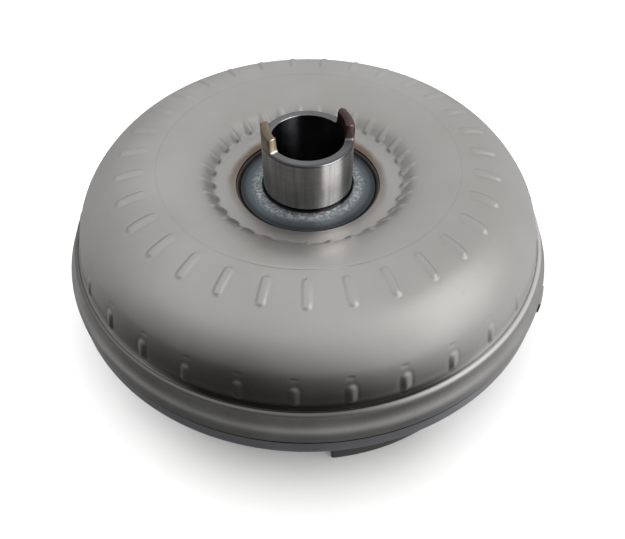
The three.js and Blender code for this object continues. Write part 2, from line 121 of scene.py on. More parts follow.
def add_camera():
    elevation = math.radians(48.2)
    target = Vector((2.5, 0, 17.4)) * MM
    away = Vector((0, -math.cos(elevation), math.sin(elevation)))
    data = bpy.data.cameras.new("camera")
    data.lens = 37.74
    camera = new_object("camera", data)
    camera.location = target + away * 412 * MM
    camera.rotation_euler = (-away).to_track_quat("-Z", "Y").to_euler()
    bpy.context.scene.camera = camera


def heading(azimuth, elevation):
    """The direction towards an azimuth and an elevation, in degrees."""
    a, e = math.radians(azimuth), math.radians(elevation)
    return math.sin(a) * math.cos(e), -math.cos(a) * math.cos(e), math.sin(e)


def add_area_light(name, azimuth, elevation, distance, size, watts, color=(1, 1, 1)):
    """A square soft light that looks at the object."""
    away = Vector(heading(azimuth, elevation))
    data = bpy.data.lights.new(name, "AREA")
    data.size, data.energy, data.color = size, watts, color
    light = new_object(name, data)
    light.location = away * distance + Vector((0, 0, 0.06))
    light.rotation_euler = (-away).to_track_quat("-Z", "Y").to_euler()
    return light


# ---------------- node helper
class Nodes:
    """Short calls that add nodes to one node tree. A value is a number, a colour or an output."""

    def __init__(self, tree):
        self.tree = tree
        tree.nodes.clear()

    def add(self, kind, inputs=(), **settings):
        node = self.tree.nodes.new(kind)
        for key, value in settings.items():
            setattr(node, key, value)
        for key, value in dict(inputs).items():
            self.plug(node.inputs[key], value)
        return node

    def plug(self, socket, value):
        if isinstance(value, bpy.types.NodeSocket):
            self.tree.links.new(value, socket)
        elif isinstance(value, (tuple, list)) and len(value) == 3 and socket.type == "RGBA":
            socket.default_value = (*value, 1)
        else:
            socket.default_value = value

    def math(self, operation, a, b=0.0):
        return self.add("ShaderNodeMath", {0: a, 1: b}, operation=operation).outputs[0]

    def times(self, a, b):
        return self.math("MULTIPLY", a, b)

    def plus(self, a, b):
        return self.math("ADD", a, b)

    def vector(self, operation, a, b=(0, 0, 0)):
        node = self.add("ShaderNodeVectorMath", {0: a, 1: b}, operation=operation)
        return node.outputs["Value" if operation == "DOT_PRODUCT" else "Vector"]

    def place(self):
        return self.add("ShaderNodeTexCoord").outputs["Object"]

    def parts(self, vector):
        return self.add("ShaderNodeSeparateXYZ", {0: vector}).outputs

    def joined(self, x, y, z):
        return self.add("ShaderNodeCombineXYZ", {0: x, 1: y, 2: z}).outputs[0]

    def rings(self, place):
        """Where a point lies in a section through the shaft axis, so that a noise runs in rings."""
        return self.joined(self.axis_radius(place), 0.0, self.parts(place)[2])

    def axis_radius(self, place):
        """Distance from the shaft axis, in metres."""
        x, y, _ = self.parts(place)
        return self.math("SQRT", self.plus(self.times(x, x), self.times(y, y)))

    def facing_front(self):
        """1 where the surface is on the camera's side of the shaft, 0 from 40 degrees round."""
        place = self.place()
        toward = self.vector("DOT_PRODUCT", place, heading(1, 0))
        return self.span(self.math("DIVIDE", toward, self.axis_radius(place)), 0.77, 0.94)

    def noise(self, place, scale, detail=4.0, roughness=0.55, stretch=None):
        if stretch:
            place = self.vector("MULTIPLY", place, stretch)
        inputs = {"Vector": place, "Scale": scale, "Detail": detail, "Roughness": roughness}
        return self.add("ShaderNodeTexNoise", inputs).outputs["Fac"]

    def cells(self, place, scale):
        return self.add("ShaderNodeTexVoronoi", {"Vector": place, "Scale": scale}).outputs["Distance"]

    def span(self, value, start, end, low=0.0, high=1.0):
        """value mapped from start..end to low..high, held at the ends, with soft ends."""
        inputs = {"Value": value, "From Min": start, "From Max": end, "To Min": low, "To Max": high}
        return self.add("ShaderNodeMapRange", inputs, interpolation_type="SMOOTHSTEP").outputs["Result"]

    def blend(self, share, a, b):
        node = self.add("ShaderNodeMix", data_type="RGBA")
        self.plug(node.inputs["Factor"], share)
        self.plug(node.inputs[6], a)
        self.plug(node.inputs[7], b)
        return node.outputs[2]

    def painted(self, base, *layers):
        """A base colour under layers, each a share and a colour."""
        for share, color in layers:
            base = self.blend(share, base, color)
        return base

    def bump(self, height, distance, strength):
        inputs = {"Height": height, "Distance": distance, "Strength": strength}
        return self.add("ShaderNodeBump", inputs).outputs["Normal"]


def new_material(name, metallic=1.0, **fixed):
    """The Nodes of a new material, with the inputs of its Principled shader."""
    material = bpy.data.materials.new(name)
    material.use_nodes = True
    nodes = Nodes(material.node_tree)
    shader = nodes.add("ShaderNodeBsdfPrincipled", {"Metallic": metallic, **fixed})
    nodes.add("ShaderNodeOutputMaterial", {"Surface": shader.outputs[0]})
    nodes.material, nodes.inputs = material, shader.inputs
    return nodes


def finish(nodes, base, rough, normal):
    """Plugs in the colour, the roughness and the fine relief. Returns the material."""
    for name, value in (("Base Color", base), ("Roughness", rough), ("Normal", normal)):
        nodes.plug(nodes.inputs[name], value)
    return nodes.material


def cloudy(nodes, size, colors, rough, relief, tone=(0.35, 0.65)):
    """A finish whose colour and roughness drift with soft clouds."""
    clouds = nodes.noise(nodes.place(), *size)
    base = nodes.blend(nodes.span(clouds, *tone), *colors)
    return finish(nodes, base, nodes.span(clouds, 0.3, 0.7, *rough), relief)


def add_world():
    """A pale room with a bright window in front on the right and a dark side in front on the left."""
    world = bpy.data.worlds.new("room")
    bpy.context.scene.world = world
    world.use_nodes = True
    nodes = Nodes(world.node_tree)
    ray = nodes.add("ShaderNodeTexCoord").outputs["Generated"]
    height = nodes.parts(ray)[2]
    color = nodes.blend(nodes.span(height, -0.6, 0.35), (0.36, 0.36, 0.37), (0.7, 0.7, 0.69))
    # The window, the paler right side, the darker left side and the dark corner in front on the
    # left: where each lies, how it fades in, and its tone.
    for direction, fade, tone in (
        ((60, 16), (0.7, 1.0), (0.7, 0.7, 0.69)),
        ((112, -8), (0.6, 0.95), (0.74, 0.74, 0.73)),
        ((-120, -5), (0.5, 0.95, 0, 0.6), (0.4, 0.39, 0.39)),
        ((-24, -36), (0.16, 0.8), (0.015, 0.014, 0.014)),
    ):
        toward = nodes.vector("DOT_PRODUCT", ray, heading(*direction))
        color = nodes.blend(nodes.span(toward, *fade), color, tone)
    backdrop = nodes.add("ShaderNodeBackground", {"Color": color, "Strength": 1.0})
    nodes.add("ShaderNodeOutputWorld", {"Surface": backdrop.outputs[0]})


def light_only(light, thing):
    """Keeps a light to one object."""
    lit = bpy.data.collections.new("lit_by_" + light.name)
    lit.objects.link(thing)
    light.light_linking.receiver_collection = lit


def add_hub_window(hub):
    """A softbox that only lights the drive hub and draws the bright stripe down its sleeve."""
    light_only(add_area_light("hub_window", 57, 20, 1.0, 0.85, 27, (1, 0.99, 0.98)), hub)


def add_stage():
    """The floor, the room, two soft lights and one more that only lights the floor."""
    bpy.context.scene.view_settings.view_transform = "Standard"
    add_world()
    corners = [(-4, -4, 0), (4, -4, 0), (4, 4, 0), (-4, 4, 0)]
    mesh = bpy.data.meshes.new("floor")
    mesh.from_pydata(corners, [], [(0, 1, 2, 3)])
    floor = new_object("floor", mesh)
    floor.location.z = LUG_FACE * MM
    floor.visible_glossy = False
    nodes = new_material("floor_paint", metallic=0.0, Roughness=0.9)
    grain = nodes.noise(nodes.place(), 30)
    nodes.plug(nodes.inputs["Base Color"], nodes.blend(grain, (0.9, 0.9, 0.9), (0.93, 0.93, 0.93)))
    mesh.materials.append(nodes.material)
    overhead = add_area_light("overhead", 0, 88, 1.6, 2.4, 26)
    overhead.visible_glossy = False
    add_area_light("window", 68, 27, 1.5, 1.1, 2.4, (1, 0.99, 0.97))
    floor_light = add_area_light("floor_light", 0, 89, 3, 5, 40)
    floor_light.visible_glossy = False
    light_only(floor_light, floor)


# ---------------- materials
def shell_steel():
    """Satin steel with faint blotches, fine grain, scuffs and brown heat tint round the hub weld, with
    painted shade in the foot's crease on the camera's side and on the tint's far side.
    """
    nodes = new_material("shell_steel")
    place = nodes.place()
    radius = nodes.axis_radius(place)
    height = nodes.parts(place)[2]
    clouds = nodes.noise(place, 14, 3)
    grain = nodes.noise(place, 900, 2)
    scuffs = nodes.noise(place, 160, 5, 0.7, (1, 6, 1))
    wobble = nodes.times(nodes.math("SUBTRACT", nodes.noise(place, 60, 3), 0.5), 0.004)
    near_weld = nodes.span(nodes.plus(radius, wobble), 0.0445, 0.0405)
    tint = nodes.times(near_weld, nodes.span(height, 0.08, 0.088))
    # Painted shade: the heat tint round the hub weld is made darker on the side away from the camera.
    far_side_shade = nodes.span(nodes.parts(place)[1], -0.025, 0.03, 0.3, 0.85)
    # Painted shade: the crease at the shell's foot is painted dark, on the camera's side only.
    foot = nodes.times(nodes.span(height, 0.0705, 0.0675, 0, 0.93), nodes.facing_front())
    base = nodes.painted(
        nodes.blend(nodes.span(clouds, 0.35, 0.65), (0.52, 0.512, 0.5), (0.58, 0.575, 0.567)),
        (nodes.span(scuffs, 0.62, 0.8, 0, 0.5), (0.4, 0.38, 0.36)),
        (foot, (0.05, 0.045, 0.042)),
        (nodes.times(tint, far_side_shade), (0.2, 0.13, 0.085)),
    )
    rough = nodes.plus(nodes.span(clouds, 0.3, 0.7, 0.37, 0.42), nodes.span(scuffs, 0.6, 0.8, 0, 0.1))
    rough = nodes.plus(rough, nodes.span(radius, 0.07, 0.056, 0, 0.12))
    return finish(nodes, base, rough, nodes.bump(grain, 0.00004, 0.5))


def cover_steel():
    """Darker, slightly blue pressed steel with fine turning lines and light stains, a painted highlight on
    the lip's right and painted shade on its left, in the crease and in the seam's gap.
    """
    nodes = new_material("cover_steel", metallic=0.85)
    place = nodes.place()
    lines = nodes.noise(nodes.rings(place), 1800, 2)
    clouds = nodes.noise(place, 26, 4)
    spots = nodes.noise(place, 240, 4, 0.7)
    height = nodes.parts(place)[2]
    # Painted highlight on the lip's right side, towards the window, and painted shade on its left.
    lip = nodes.span(nodes.parts(place)[0], 0.01, 0.08)
    lip_highlight_and_shade = nodes.blend(lip, (0.17, 0.165, 0.16), (0.72, 0.715, 0.7))
    # Painted shade in the crease at the lip, on the camera's side only.
    crease_shade = nodes.span(nodes.axis_radius(place), 0.1289, 0.1285, 0, 0.9)
    # Painted shade: the gap between the cover and the rim band is painted near black.
    seam_gap_shade = nodes.times(nodes.span(height, 0.0482, 0.0487), nodes.span(height, 0.0505, 0.0501))
    base = nodes.painted(
        nodes.blend(nodes.span(clouds, 0.35, 0.65), (0.33, 0.325, 0.322), (0.4, 0.395, 0.392)),
        (nodes.span(spots, 0.6, 0.75, 0, 0.45), (0.24, 0.21, 0.2)),
        (nodes.span(height, 0.052, 0.048, 0, 0.5), (0.46, 0.47, 0.53)),  # the rim's lower band
        (nodes.span(height, 0.034, 0.028, 0, 0.75), (0.7, 0.7, 0.71)),  # the engine side
        (nodes.span(height, 0.0642, 0.0652, 0, 0.9), lip_highlight_and_shade),
        (nodes.times(crease_shade, nodes.facing_front()), (0.05, 0.045, 0.042)),
        (nodes.times(seam_gap_shade, 0.95), (0.012, 0.012, 0.014)),
    )
    nodes.plug(nodes.inputs["Metallic"], nodes.span(height, 0.034, 0.028, 0.85, 0.3))
    rough = nodes.span(clouds, 0.3, 0.7, 0.38, 0.46)
    return finish(nodes, base, rough, nodes.bump(lines, 0.00003, 0.4))


def turned_steel():
    """Machined steel: fine rings round the axis, which stretch its highlights along it. Painted highlights
    speckle the flange, and painted shade darkens the flange's edge, the groove, the chamfer and the bore.
    """
    nodes = new_material("turned_steel")
    nodes.inputs["Anisotropic Rotation"].default_value = 0.25
    place = nodes.place()
    radius = nodes.axis_radius(place)
    height = nodes.parts(place)[2]
    fine_rings = nodes.noise(nodes.rings(place), 2600, 3, 0.7)
    wide_rings = nodes.noise(nodes.rings(place), 420, 2)
    streaks = nodes.noise(place, 420, 3, 0.6, (1, 1, 0.03))
    stains = nodes.noise(place, 90, 4, 0.6)
    on_hub = nodes.span(height, 0.0815, 0.0822)
    low = nodes.times(nodes.span(height, 0.0915, 0.0905), on_hub)
    flange = nodes.times(nodes.span(radius, 0.0243, 0.0247), low)
    # The flange's bright specks are painted highlights, and the dark ring at its edge next to the weld is
    # painted shade.
    glint_specks = nodes.span(nodes.noise(place, 620, 3, 0.7), 0.4, 0.68, 0.15, 1)
    flange_glints_and_shade = nodes.painted(
        (0.14, 0.165, 0.185),
        (nodes.times(nodes.span(radius, 0.0325, 0.028), glint_specks), (0.55, 0.59, 0.61)),
        (nodes.times(nodes.span(radius, 0.0325, 0.0355), 0.8), (0.045, 0.05, 0.055)),
    )
    # Painted shade: the groove at the sleeve's foot is painted near black.
    groove = nodes.times(nodes.span(radius, 0.0247, 0.024), low)
    end_face = nodes.times(nodes.span(height, 0.1185, 0.1194), nodes.span(radius, 0.0192, 0.0196))
    # Painted shade: the outer chamfer of the sleeve's top edge is painted dark, a painted dark reflection.
    chamfer = nodes.times(nodes.span(height, 0.1181, 0.1184), nodes.span(radius, 0.02275, 0.0229))
    burnt = nodes.span(height, 0.1192, 0.1206)
    gold = nodes.blend(nodes.span(stains, 0.35, 0.6), (0.36, 0.3, 0.23), (0.26, 0.2, 0.14))
    tangs = nodes.blend(nodes.span(nodes.parts(place)[0], 0.002, -0.002), (0.1, 0.055, 0.045), gold)
    base = nodes.painted(
        nodes.blend(nodes.span(stains, 0.4, 0.7), (0.295, 0.292, 0.288), (0.24, 0.232, 0.224)),
        (nodes.span(wide_rings, 0.45, 0.65, 0, 0.3), (0.34, 0.34, 0.34)),
        (nodes.span(streaks, 0.4, 0.62, 0, 0.6), (0.18, 0.17, 0.16)),
        (flange, flange_glints_and_shade),
        (groove, (0.02, 0.018, 0.017)),
        (nodes.times(end_face, 0.85), (0.2, 0.215, 0.235)),
        (nodes.times(chamfer, 0.85), (0.09, 0.09, 0.1)),
        # Painted shade: the bore's wall is painted near black.
        (nodes.times(nodes.span(radius, 0.01925, 0.01915), on_hub), (0.03, 0.03, 0.034)),  # the bore
        (nodes.times(burnt, 0.85), tangs),
    )
    dull = nodes.math("MAXIMUM", nodes.math("MAXIMUM", flange, burnt), end_face)
    rough = nodes.plus(nodes.span(stains, 0.35, 0.7, 0.28, 0.34), nodes.times(dull, 0.16))
    nodes.plug(nodes.inputs["Anisotropic"], nodes.math("SUBTRACT", 1.0, dull))
    around_axis = nodes.add("ShaderNodeTangent", direction_type="RADIAL", axis="Z")
    nodes.plug(nodes.inputs["Tangent"], around_axis.outputs[0])
    return finish(nodes, base, rough, nodes.bump(fine_rings, 0.00003, 0.6))


def weld_steel():
    """Dark, scaled weld metal with brown and blue oxide. The closing bead is grey like the shell except on
    the camera's side, where its dark is painted shade.
    """
    nodes = new_material("weld_steel", metallic=0.8)
    place = nodes.place()
    scale = nodes.noise(place, 260, 6, 0.7)
    hue = nodes.noise(place, 70, 3)
    radius = nodes.axis_radius(place)
    outer_side = nodes.span(radius, 0.0378, 0.0396, 0, 0.45)
    # Painted shade: the closing bead stays dark only on the camera's side.
    away_from_front = nodes.math("SUBTRACT", 1.0, nodes.facing_front())
    base = nodes.painted(
        nodes.blend(nodes.span(hue, 0.35, 0.65), (0.06, 0.042, 0.034), (0.045, 0.047, 0.055)),
        (nodes.span(scale, 0.5, 0.75, 0, 0.6), (0.12, 0.11, 0.1)),
        (nodes.times(outer_side, nodes.span(radius, 0.06, 0.05)), (0.33, 0.275, 0.23)),
        (nodes.times(nodes.span(radius, 0.1, 0.11), away_from_front), (0.36, 0.35, 0.335)),
    )
    rough = nodes.span(scale, 0.3, 0.7, 0.42, 0.65)
    return finish(nodes, base, rough, nodes.bump(scale, 0.0002, 0.7))


def sheet_steel():
    """Plain rolled sheet with faint rolling lines and oil stains."""
    nodes = new_material("sheet_steel")
    lines = nodes.noise(nodes.place(), 500, 4, 0.6, (1, 9, 1))
    colors = (0.5, 0.5, 0.5), (0.36, 0.34, 0.31)
    return cloudy(nodes, (45,), colors, (0.3, 0.42), nodes.bump(lines, 0.00003, 0.5), (0.35, 0.7))


def bearing_steel():
    """Ground and hardened steel with fine grinding lines."""
    nodes = new_material("bearing_steel")
    lines = nodes.noise(nodes.rings(nodes.place()), 3200, 2)
    colors = (0.6, 0.61, 0.63), (0.5, 0.5, 0.5)
    return cloudy(nodes, (120, 3), colors, (0.14, 0.22), nodes.bump(lines, 0.00002, 0.4), (0.4, 0.7))


def spring_steel():
    """Oil-tempered wire: dark, with a blue-brown sheen and drawing lines."""
    nodes = new_material("spring_steel")
    lines = nodes.noise(nodes.place(), 700, 3)
    colors = (0.2, 0.21, 0.24), (0.27, 0.24, 0.21)
    return cloudy(nodes, (110, 3), colors, (0.28, 0.38), nodes.bump(lines, 0.00003, 0.5))


def cast_aluminium():
    """Die-cast aluminium with a dull, slightly pebbled skin."""
    nodes = new_material("cast_aluminium")
    skin = nodes.cells(nodes.place(), 700)
    colors = (0.6, 0.61, 0.62), (0.5, 0.5, 0.5)
    return cloudy(nodes, (50,), colors, (0.42, 0.55), nodes.bump(skin, 0.0001, 0.4))


def friction_paper():
    """Paper lining: brown fibres soaked with oil."""
    nodes = new_material("friction_paper", metallic=0.0)
    place = nodes.place()
    fibres = nodes.noise(place, 900, 6, 0.75, (1, 3, 1))
    clouds = nodes.noise(place, 60, 3)
    base = nodes.blend(nodes.span(fibres, 0.35, 0.7), (0.13, 0.085, 0.05), (0.24, 0.17, 0.1))
    base = nodes.blend(nodes.span(clouds, 0.45, 0.7, 0, 0.5), base, (0.09, 0.06, 0.04))
    rough = nodes.span(fibres, 0.3, 0.7, 0.75, 0.95)
    return finish(nodes, base, rough, nodes.bump(fibres, 0.0001, 0.8))


def seal_plastic():
    """Dark bearing plastic with a fine moulded grain."""
    nodes = new_material("seal_plastic", metallic=0.0)
    place = nodes.place()
    grain = nodes.noise(place, 1200, 3)
    clouds = nodes.noise(place, 80, 3)
    base = nodes.blend(nodes.span(clouds, 0.35, 0.65), (0.03, 0.026, 0.022), (0.05, 0.043, 0.036))
    rough = nodes.span(grain, 0.3, 0.7, 0.42, 0.58)
    return finish(nodes, base, rough, nodes.bump(grain, 0.00003, 0.5))


MATERIALS = {
    make.__name__: make()
    for make in (shell_steel, cover_steel, turned_steel, weld_steel, sheet_steel, bearing_steel,
                 spring_steel, cast_aluminium, friction_paper, seal_plastic)
}


# ---------------- mesh helpers
SLOTS = {subpart["node"]: subpart["material_slot"] for subpart in frame["record"]["subparts"]}


def add_piece(node, parts, name=None, sharp=35):
    """One piece of closed meshes in millimetres, shown in place of a CAD node and on its body."""
    vertices, faces = [], []
    for part_vertices, part_faces in parts:
        faces += [[index + len(vertices) for index in face] for face in part_faces]
        vertices += [tuple(v) for v in part_vertices]
    name = name or "fine_" + node
    mesh = bpy.data.meshes.new(name)
    mesh.from_pydata(np.array(vertices, float) * MM, [], faces)
    mesh.validate()
    whole = bmesh.new()
    whole.from_mesh(mesh)
    bmesh.ops.recalc_face_normals(whole, faces=whole.faces)
    whole.to_mesh(mesh)
    whole.free()
    mesh.shade_smooth()
    mesh.set_sharp_from_angle(angle=math.radians(sharp))
    mesh.materials.append(MATERIALS[SLOTS[node]])
    piece = new_object(name, mesh)
    piece.modifiers.new("even_shading", "WEIGHTED_NORMAL").keep_sharp = True
    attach(piece, frame["nodes"][node]["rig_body"])
    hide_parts(node)
    return piece


def around(azimuth, r):
    """x and y at an azimuth in degrees and a radius."""
    angle = np.radians(azimuth)
    return r * np.sin(angle), -r * np.cos(angle)


def placed(azimuth, r, z):
    """An array of points at azimuths, radii and heights."""
    x, y = around(azimuth, r)
    return np.stack([x, y, np.broadcast_to(z, x.shape)], -1)


def run_length(points):
    """How far along a line of points each one lies."""
    return np.concatenate([[0], np.cumsum(np.linalg.norm(np.diff(points, axis=0), axis=1))])


def unit(vectors):
    """The vectors at length 1."""
    return vectors / np.linalg.norm(vectors, axis=1)[:, None]


def anticlockwise(loop):
    """A closed outline's points, turned round if they run clockwise."""
    ahead = np.roll(loop, -1, 0)
    twice_area = np.sum(loop[:, 0] * ahead[:, 1] - ahead[:, 0] * loop[:, 1])
    return loop if twice_area >= 0 else loop[::-1]


def grid_faces(rows, columns, wrap_rows, wrap_columns):
    """Quads over a grid whose points are numbered along each row."""
    row = np.arange(rows if wrap_rows else rows - 1)
    column = np.arange(columns if wrap_columns else columns - 1)
    i, j = np.meshgrid(row, column, indexing="ij")
    i2, j2 = (i + 1) % rows, (j + 1) % columns
    quads = np.stack([i * columns + j, i * columns + j2, i2 * columns + j2, i2 * columns + j], -1)
    return quads.reshape(-1, 4).tolist()


def flipped(faces):
    return [face[::-1] for face in faces]


def row_caps(rows, columns):
    """Faces that close the first and the last row of a grid."""
    last = (rows - 1) * columns
    return [list(range(columns))[::-1], list(range(last, last + columns))]


def column_caps(rows, columns):
    """Faces that close the first and the last column of a grid."""
    starts = range(0, rows * columns, columns)
    return [list(starts), [start + columns - 1 for start in reversed(starts)]]


def soft_corner(before, corner, after, radius, steps):
    """Points on the curve that rounds a corner off."""
    back, on = before - corner, after - corner
    turn = math.pi - back.angle(on)
    if radius <= 0 or turn < 0.02:
        return [corner]
    cut = min(radius * math.tan(turn / 2), back.length * 0.49, on.length * 0.49)
    start, end = corner + back.normalized() * cut, corner + on.normalized() * cut
    shares = [step / steps for step in range(steps + 1)]
    return [start * (1 - t) ** 2 + corner * 2 * t * (1 - t) + end * t**2 for t in shares]


def rounded(outline, radius=0.5, steps=4):
    """A closed outline with rounded corners. A point may give its own radius as a third number."""
    points = [Vector(p[:2]) for p in outline]
    result = []
    for i, corner in enumerate(points):
        own = outline[i][2] if len(outline[i]) > 2 else radius
        result += soft_corner(points[i - 1], corner, points[(i + 1) % len(points)], own, steps)
    return [(p.x, p.y) for p in result]


def arc(center, radius_r, radius_z, start, end, steps=24):
    angle = np.radians(np.linspace(start, end, steps + 1))
    return np.stack([center[0] + radius_r * np.cos(angle), center[1] + radius_z * np.sin(angle)], -1)


def unrounded(curve):
    """A curve's points for an outline, with corners that stay as they are."""
    return [(*point, 0) for point in curve]


def lathe(outline, sides=FINE):
    """Vertices and faces of a closed outline turned about the axis."""
    loop = anticlockwise(np.array(outline))
    azimuth = np.arange(sides) * 360 / sides
    points = placed(azimuth, loop[:, :1], loop[:, 1:])
    return points.reshape(-1, 3), grid_faces(len(loop), sides, True, True)


def turned_part(outline, radius=0.3, sides=FINE):
    return lathe(rounded(outline, radius), sides)


def spline(points, spacing):
    """Points about spacing apart on a natural cubic spline through the given ones."""
    points = np.array(points, float)
    t = run_length(points)
    n, h = len(t), np.diff(t)
    system, right = np.eye(n), np.zeros((n, points.shape[1]))
    for i in range(1, n - 1):
        system[i, i - 1 : i + 2] = h[i - 1], 2 * (h[i - 1] + h[i]), h[i]
        slopes = (points[i + 1] - points[i]) / h[i] - (points[i] - points[i - 1]) / h[i - 1]
        right[i] = 6 * slopes
    bend = np.linalg.solve(system, right)
    fine = np.linspace(0, t[-1], max(2, round(t[-1] / spacing)) + 1)
    k = np.clip(np.searchsorted(t, fine) - 1, 0, n - 2)
    a, b, w = (t[k + 1] - fine)[:, None], (fine - t[k])[:, None], h[k][:, None]
    return (
        (bend[k] * a**3 + bend[k + 1] * b**3) / (6 * w)
        + (points[k] / w - bend[k] * w / 6) * a
        + (points[k + 1] / w - bend[k + 1] * w / 6) * b
    )


# ---------------- impeller shell
TAB_PHASE = -2.6
# The shell's outside, from its hub hole over the petals' cone and the crown to its skirt.
SHELL_OUTSIDE = [
    (SHELL_HOLE_R, SHELL_HOLE_TOP), (44, 91.2), (47.5, 91.9), (50.1, 92.4), (51.1, 92.9), (52.2, 94.1),
    (54.2, 96.7), (56.2, 98.9), (58.6, 100.6), (62, 102.1), (66, 103.6), (70.5, 104.95), (77, 106.6),
    (84, 107.4), (91, 106.9), (98, 105.2), (105, 101.9), (111.5, 96.9), (117, 90.9), (121.4, 84.6),
    (124.3, 78.3), (125.8, 73.2), (126.4, 70), (127, 67.9), (SHELL_FOOT_R, 66.5),
]
CROWN_GROOVE_R = 79.8
# Each mark: the radii it runs between, half its width, its height, its phase in degrees, how much
# of its half-width slopes, and how much narrower (taper) and lower (fade) it gets outwards.
MARKS = [
    dict(ends=(49, 58.2), half=3.3, height=1.5, phase=0, slope=0.95, taper=0.25, fade=0.5),
    dict(ends=(85.4, 101.6), half=2.8, height=1.0, phase=0, slope=0.75, taper=0, fade=0),
    dict(ends=(123.9, 127.1), half=2.9, height=0.5, phase=TAB_PHASE, slope=0.95, taper=0, fade=-0.7),
]
DASH = dict(r=122.3, half_length=1.1, depth=0.11, phase=TAB_PHASE)
LARGEST_STEP = 3  # between two rows of points on the shell


def ease(t):
    t = np.clip(t, 0, 1)
    return t * t * (3 - 2 * t)


def shell_rows():
    """Points on the shell's outside, close together where it has marks, with their outward normals."""
    fine = spline(SHELL_OUTSIDE, 0.05)
    s = run_length(fine)

    def s_of(r):
        return np.interp(r, fine[:, 0], s)

    busy = [s_of(mark["ends"]) + (-1, 1) for mark in MARKS]
    dash, groove = s_of(DASH["r"]), s_of(CROWN_GROOVE_R)
    rows, at = [0.0], 0.0
    # Each step is the smallest that a mark asks for. What it asks for grows with its distance.
    while at < s[-1]:
        steps = [0.95 + 0.35 * max(0, low - at, at - high) for low, high in busy]
        steps.append(0.3 + 0.5 * max(0, abs(at - groove) - 0.8))
        steps.append(0.33 + 0.45 * max(0, abs(at - dash) - 0.8))
        at += min(*steps, LARGEST_STEP)
        rows.append(min(at, s[-1]))
    rows = np.array(rows)
    tangent = np.gradient(fine, s, axis=0)
    points, tangent = (
        np.stack([np.interp(rows, s, curve[:, k]) for k in (0, 1)], -1) for curve in (fine, tangent)
    )
    tangent = unit(tangent)
    return rows, points, np.stack([-tangent[:, 1], tangent[:, 0]], -1), s_of


def sector_columns():
    """Azimuths over one sector, closest together across the marks."""
    first = -4.3
    marks = np.arange(first, 1.9, 0.31)
    flank = np.arange(marks[-1] + 0.36, 3.4, 0.4)
    plain = np.linspace(flank[-1] + 0.8, SECTOR + first - 0.8, 3)
    return np.concatenate([marks, flank, plain])


def offset_from(azimuth, phase):
    """Degrees from each azimuth to the nearest mark."""
    return (azimuth - phase + SECTOR / 2) % SECTOR - SECTOR / 2


def mark_height(s, r, azimuth, s_of):
    """How far the marks raise the shell, over a grid of rows and columns."""
    height = np.zeros((len(s), len(azimuth)))
    for mark in MARKS:
        across = np.radians(offset_from(azimuth, mark["phase"]))[None, :] * r[:, None]
        start, end = s_of(mark["ends"][0]) + mark["half"], s_of(mark["ends"][1]) - mark["half"]
        beyond = np.maximum(0, np.maximum(start - s, s - end))[:, None]
        share = np.clip((s - start) / (end - start), 0, 1)[:, None]
        width = 1 - mark["taper"] * share**2
        distance = np.hypot(across / width, beyond) / mark["half"]
        rise = (1 - mark["fade"] * share) * ease((1 - distance) / mark["slope"])
        rim = (1 - 4 * mark["taper"] * share) * np.exp(-(((distance - 1.08) / 0.17) ** 2))
        height += mark["height"] * rise - 0.14 * rim
    across = np.radians(offset_from(azimuth, DASH["phase"]))[None, :] * r[:, None]
    along = (s - s_of(DASH["r"]))[:, None]
    sides = ease(2 - np.abs(across) / DASH["half_length"])
    height -= DASH["depth"] * sides * ease((along + 0.6) / 0.8) * ease((3 - along) / 2.8)
    groove = np.exp(-(((s - s_of(CROWN_GROOVE_R)) / 0.5) ** 2))
    return height - 0.3 * groove[:, None]


def add_shell():
    s, outside, normal, s_of = shell_rows()
    azimuth = (np.arange(VANES)[:, None] * SECTOR + sector_columns()[None, :]).ravel()
    height = mark_height(s, outside[:, 0], azimuth, s_of)
    r, z = (outside[:, k : k + 1] + normal[:, k : k + 1] * height for k in (0, 1))
    inner = (outside - SHELL_T * normal)[::-12]
    inside_r, under = SKIRT_R - SHELL_T, SHELL_HOLE_TOP - SHELL_T
    skirt = [(SHELL_FOOT_R, 65.8), (SKIRT_R, 64.5), (SKIRT_R, SKIRT_BOTTOM + 0.5),
             (SKIRT_R - 0.5, SKIRT_BOTTOM), (inside_r + 0.5, SKIRT_BOTTOM), (inside_r, SKIRT_BOTTOM + 0.5)]
    hole = [(SHELL_HOLE_R + 0.4, under - 0.2), (SHELL_HOLE_R, under + 0.3),
            (SHELL_HOLE_R, SHELL_HOLE_TOP - 0.4)]
    plain = np.array(skirt + [tuple(p) for p in inner if 43 < p[0] < inside_r - 0.2] + hole)
    plain_r, plain_z = (np.repeat(plain[:, k : k + 1], len(azimuth), 1) for k in (0, 1))
    r, z = np.concatenate([r, plain_r]), np.concatenate([z, plain_z])
    faces = flipped(grid_faces(len(r), len(azimuth), True, True))
    shell = placed(azimuth, r, z).reshape(-1, 3), faces
    add_piece("impeller_shell", [shell], "pump_shell", 40)


# ---------------- drive hub
HUB_DEGREE = math.radians(1) * HUB_R  # mm along the sleeve for one degree
TANG_LEAN = 1.0  # degrees that each tang's side leans
TANG_EDGE = 1.0  # radius of a tang's upper corners
TANG_FOOT = 1.6  # radius where a tang rises from the sleeve


